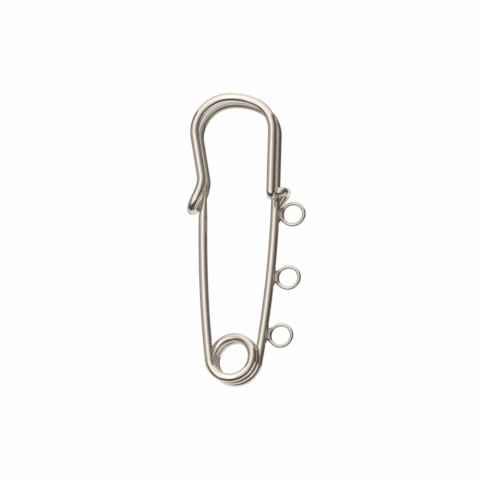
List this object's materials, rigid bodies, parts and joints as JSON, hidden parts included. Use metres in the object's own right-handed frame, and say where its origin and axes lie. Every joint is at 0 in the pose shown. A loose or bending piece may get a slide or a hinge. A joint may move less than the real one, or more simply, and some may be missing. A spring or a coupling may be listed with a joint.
{
  "type": "kilt pin",
  "caption": "Large safety pin bent from one plated wire, with a coiled tail spring, a folded catch, a hooked end round the back arm and charm rings along that arm.",
  "frame": {"origin": "under the middle of the pin's bounding box, at the height of its lowest point, as it lies on its back", "axes": "+Y along the pin from the spring coil to the head, +X from the pin arm to the back arm and its rings, +Z from the back arm's side to the front strand of the head"},
  "size_m": [0.0196, 0.0506, 0.0072],
  "materials": {
    "plated_wire": "bright nickel-coloured plating on spring-steel wire, polished, with faint draw lines",
    "plated_ring": "the same bright plating on thin ring wire",
    "braze": "plated braze, smooth and slightly duller than the wire"
  },
  "bodies": {
    "frame": {"back_arm": "plated_wire", "head_rear_strand": "plated_wire", "catch_fold": "plated_wire", "head_front_strand": "plated_wire", "hooked_end": "plated_wire", "charm_ring_upper": "plated_ring", "charm_ring_middle": "plated_ring", "charm_ring_lower": "plated_ring", "ring_braze_upper": "braze", "ring_braze_middle": "braze", "ring_braze_lower": "braze"},
    "spring": {"spring_coil": "plated_wire"},
    "pin": {"pin_arm": "plated_wire"}
  },
  "joints": [
    {"name": "pin_arm_swing", "type": "hinge", "parent": "frame", "child": "spring", "pos_m": [-0.00199, -0.02099, 0.00646], "axis": [0, 0, 1], "range_deg": [0, 25], "stiffness_Nm_per_rad": 0.005, "deforming": ["spring_coil"]},
    {"name": "pin_arm_lift", "type": "hinge", "parent": "spring", "child": "pin", "pos_m": [-0.00556, -0.02139, 0.00646], "axis": [0.034, -0.9962, -0.0804], "range_deg": [0, 360]}
  ],
  "couplings": [
    {"joint": "pin_arm_lift", "follows": "pin_arm_swing", "ratio": 14.4}
  ]
}
